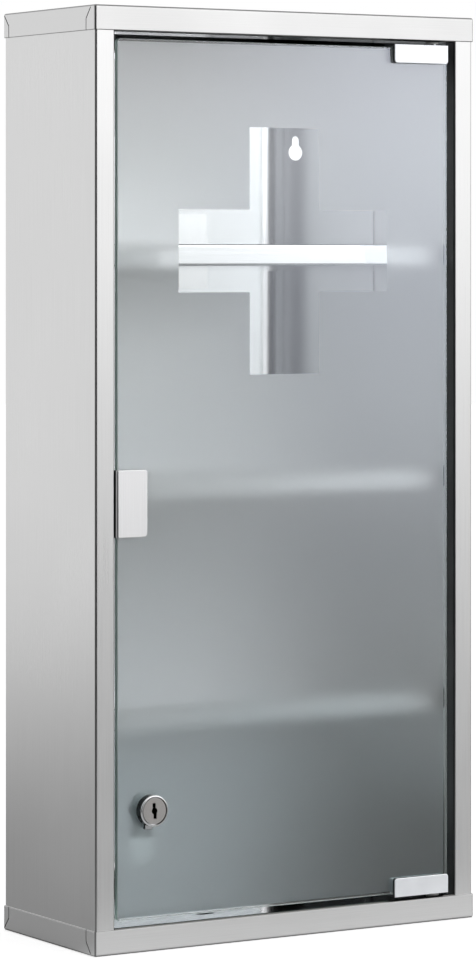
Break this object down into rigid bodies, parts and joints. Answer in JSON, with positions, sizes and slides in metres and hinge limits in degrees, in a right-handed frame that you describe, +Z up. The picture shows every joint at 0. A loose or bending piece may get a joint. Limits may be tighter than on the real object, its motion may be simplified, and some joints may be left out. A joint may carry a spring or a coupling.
{
  "type": "medicine cabinet",
  "caption": "Wall-hung stainless medicine cabinet with fixed shelves and a frosted glass door on pivot hinges, with a clear cross, pull handle and cam lock.",
  "frame": {"origin": "midway between the two keyholes' head holes, on the back panel's rear face", "axes": "+X to the right as seen from the front, +Y from the door towards the wall, +Z up"},
  "size_m": [0.29, 0.1278, 0.6],
  "materials": {
    "brushed_stainless": "brushed",
    "polished_stainless": "polished",
    "rivet_aluminium": "bright",
    "white_nylon": "moulded",
    "clear_liner": "soft",
    "magnet": "sintered",
    "zinc_plated_steel": "zinc plated",
    "door_glass": "clear, polished edges",
    "frosted_film": "frosted",
    "chrome": "bright chrome",
    "satin_nickel": "satin nickel",
    "black_gasket": "matt"
  },
  "bodies": {
    "cabinet": {"bottom_cap": "brushed_stainless", "top_cap": "brushed_stainless", "left_side_panel": "brushed_stainless", "right_side_panel": "brushed_stainless", "back_panel": "polished_stainless", "sill_rail": "polished_stainless", "head_rail": "polished_stainless", "lower_pivot_bush": "white_nylon", "upper_pivot_bush": "white_nylon", "catch_housing": "white_nylon", "catch_magnet": "magnet", "catch_pole_plates": "zinc_plated_steel", "lower_shelf": "polished_stainless", "middle_shelf": "polished_stainless", "upper_shelf": "polished_stainless", "catch_screws": "zinc_plated_steel", "back_panel_rivets": "rivet_aluminium", "shelf_rivets": "rivet_aluminium"},
    "door": {"door_glass": "door_glass", "frosted_film": "frosted_film", "lower_hinge_clip": "chrome", "upper_hinge_clip": "chrome", "lower_hinge_liner": "clear_liner", "upper_hinge_liner": "clear_liner", "lower_hinge_pin": "zinc_plated_steel", "upper_hinge_pin": "zinc_plated_steel", "hinge_set_screws": "zinc_plated_steel", "pull_handle": "chrome", "pull_handle_liner": "clear_liner", "lock_housing": "chrome", "lock_gasket": "black_gasket", "lock_washer": "clear_liner", "lock_nut": "zinc_plated_steel"},
    "lock_core": {"lock_plug": "satin_nickel", "lock_cam": "zinc_plated_steel", "cam_washer": "zinc_plated_steel", "cam_screw": "zinc_plated_steel"}
  },
  "joints": [
    {"name": "door_swing", "type": "hinge", "parent": "cabinet", "child": "door", "pos_m": [0.117, -0.1124, 0], "axis": [0, 0, 1], "range_deg": [0, 100]},
    {"name": "lock_turn", "type": "hinge", "parent": "door", "child": "lock_core", "pos_m": [-0.1046, -0.1124, -0.4221], "axis": [0, 1, 0], "range_deg": [0, 90]}
  ]
}
